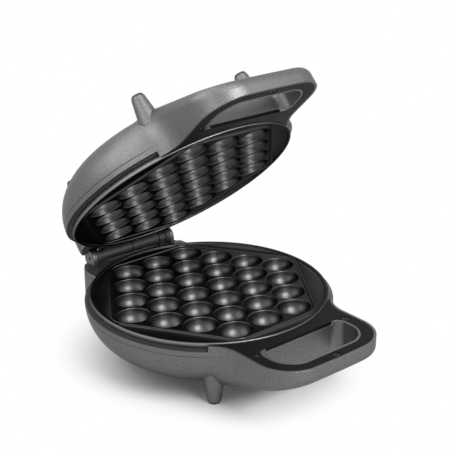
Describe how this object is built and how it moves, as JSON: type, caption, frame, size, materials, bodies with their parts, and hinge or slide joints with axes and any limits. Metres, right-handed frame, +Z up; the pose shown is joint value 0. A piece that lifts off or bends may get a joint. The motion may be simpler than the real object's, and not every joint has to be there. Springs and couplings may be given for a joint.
{
  "type": "bubble waffle maker",
  "caption": "Hinged round electric waffle maker with egg-shaped cells in a hexagon field, loop handles and tapered feet, its lid standing open.",
  "frame": {"origin": "centre of the footprint with the lid as pictured, at the level that the feet stand on", "axes": "+Z up, -Y towards the handles, +Y towards the hinge, +X to the right seen from the handles"},
  "size_m": [0.2, 0.2902, 0.2449],
  "materials": {
    "grey_shell": "satin metallic grey paint on moulded plastic",
    "black_trim": "black moulded plastic",
    "nonstick_casting": "dark non-stick coating on cast aluminium",
    "black_cover": "black plastic with a fine grain",
    "dark_steel": "blackened screws",
    "element_steel": "heat-dulled steel tube",
    "bare_aluminium": "bare sheet",
    "zinc_steel": "zinc-plated",
    "black_rubber": "matt rubber",
    "fuse_metal": "plated can",
    "white_ceramic": "glazed ceramic",
    "silicone_lead": "silicone insulation",
    "red_lens": "clear tinted",
    "green_lens": "clear tinted"
  },
  "bodies": {
    "base": {"lower_housing": "grey_shell", "lower_inner_ring": "black_trim", "thermostat": "white_ceramic", "terminal_block": "white_ceramic", "cord_gland": "black_rubber", "hinge_pin": "zinc_steel", "link_lead": "silicone_lead", "lower_leads": "silicone_lead", "lower_cooking_plate": "nonstick_casting", "lower_handle_cover": "black_cover", "lower_cover_screws": "dark_steel", "lower_heating_element": "element_steel", "lower_reflector": "bare_aluminium", "lower_feet": "grey_shell", "lower_leg_screws": "zinc_steel", "lower_foot_pads": "black_rubber", "lower_thermal_fuse": "fuse_metal"},
    "lid": {"upper_housing": "grey_shell", "upper_inner_ring": "black_trim", "power_light_lens": "red_lens", "ready_light_lens": "green_lens", "lamp_holder": "black_trim", "upper_cooking_plate": "nonstick_casting", "upper_handle_cover": "black_cover", "upper_cover_screws": "dark_steel", "upper_heating_element": "element_steel", "upper_reflector": "bare_aluminium", "upper_feet": "grey_shell", "upper_leg_screws": "zinc_steel", "upper_foot_pads": "black_rubber", "upper_thermal_fuse": "fuse_metal"}
  },
  "joints": [
    {"name": "lid_hinge", "type": "hinge", "parent": "base", "child": "lid", "pos_m": [0, 0.1144, 0.0565], "axis": [-1, 0, 0], "range_deg": [-44, 51]}
  ]
}
